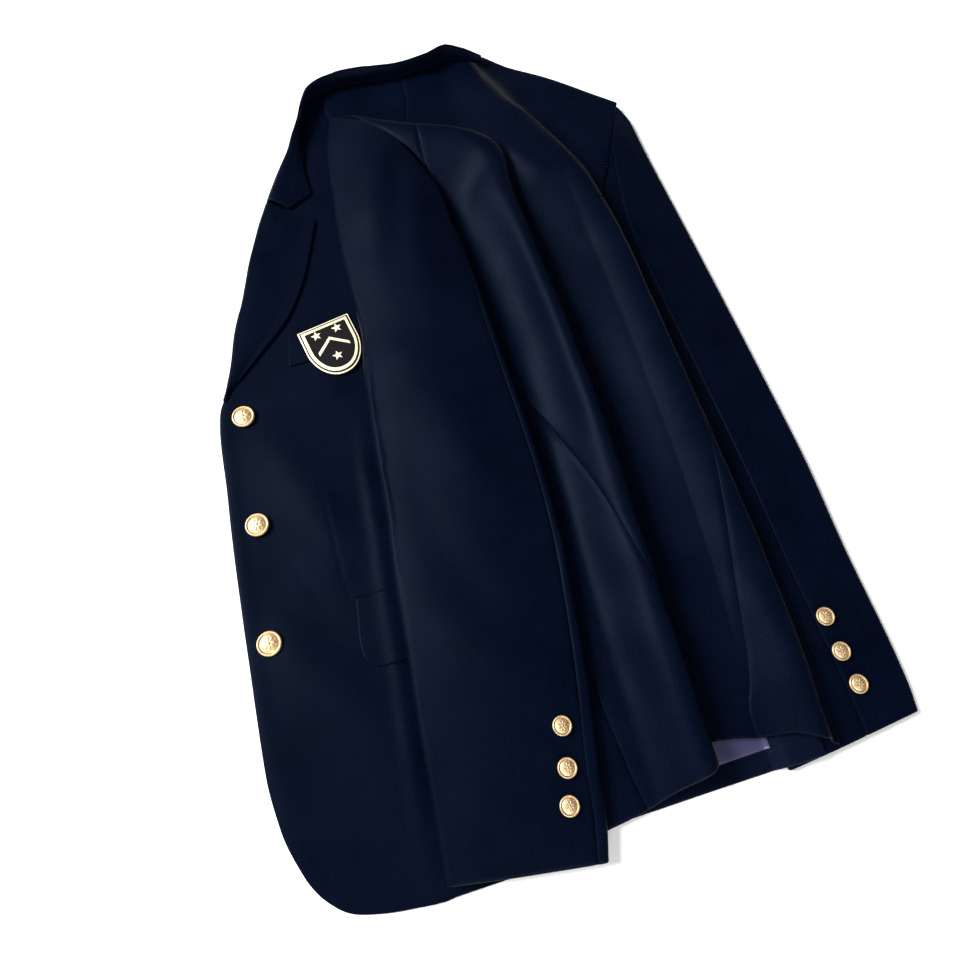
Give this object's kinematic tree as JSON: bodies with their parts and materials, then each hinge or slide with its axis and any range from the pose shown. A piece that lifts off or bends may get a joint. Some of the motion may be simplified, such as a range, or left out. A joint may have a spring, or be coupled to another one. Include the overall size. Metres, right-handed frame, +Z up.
{
  "type": "blazer",
  "caption": "Woman's blazer laid down back up, its left front opened out flat, with notched lapel, two-piece sleeves, metal buttons and a plain shield badge.",
  "frame": {"origin": "middle of the laid blazer's footprint, on the surface it lies on", "axes": "+X across the garment, towards its right sleeve; +Y from hem to collar; +Z up from the surface it lies on"},
  "size_m": [0.4912, 0.7754, 0.0385],
  "materials": {
    "navy cloth": "matt wool flannel with a soft nap",
    "navy facing": "matt wool, wrong side up",
    "lining satin": "satin lining",
    "gold metal": "polished gilt",
    "black enamel": "smooth enamel"
  },
  "bodies": {
    "root": {"left_front": "navy cloth", "left_lapel": "navy cloth", "collar": "navy cloth", "left_side": "navy cloth", "back_left": "navy cloth", "back_right": "navy cloth", "right_side": "navy cloth", "right_front": "navy facing", "right_lining": "lining satin", "left_top_sleeve": "navy cloth", "left_under_sleeve": "navy cloth", "right_top_sleeve": "navy cloth", "right_under_sleeve": "navy cloth", "pocket_flap": "navy cloth", "chest_welt": "navy cloth", "badge": "gold metal", "badge_face": "black enamel", "front_button_1": "gold metal", "front_button_2": "gold metal", "front_button_3": "gold metal", "left_cuff_button_1": "gold metal", "left_cuff_button_2": "gold metal", "left_cuff_button_3": "gold metal", "right_cuff_button_1": "gold metal", "right_cuff_button_2": "gold metal", "right_cuff_button_3": "gold metal"}
  },
  "joints": []
}
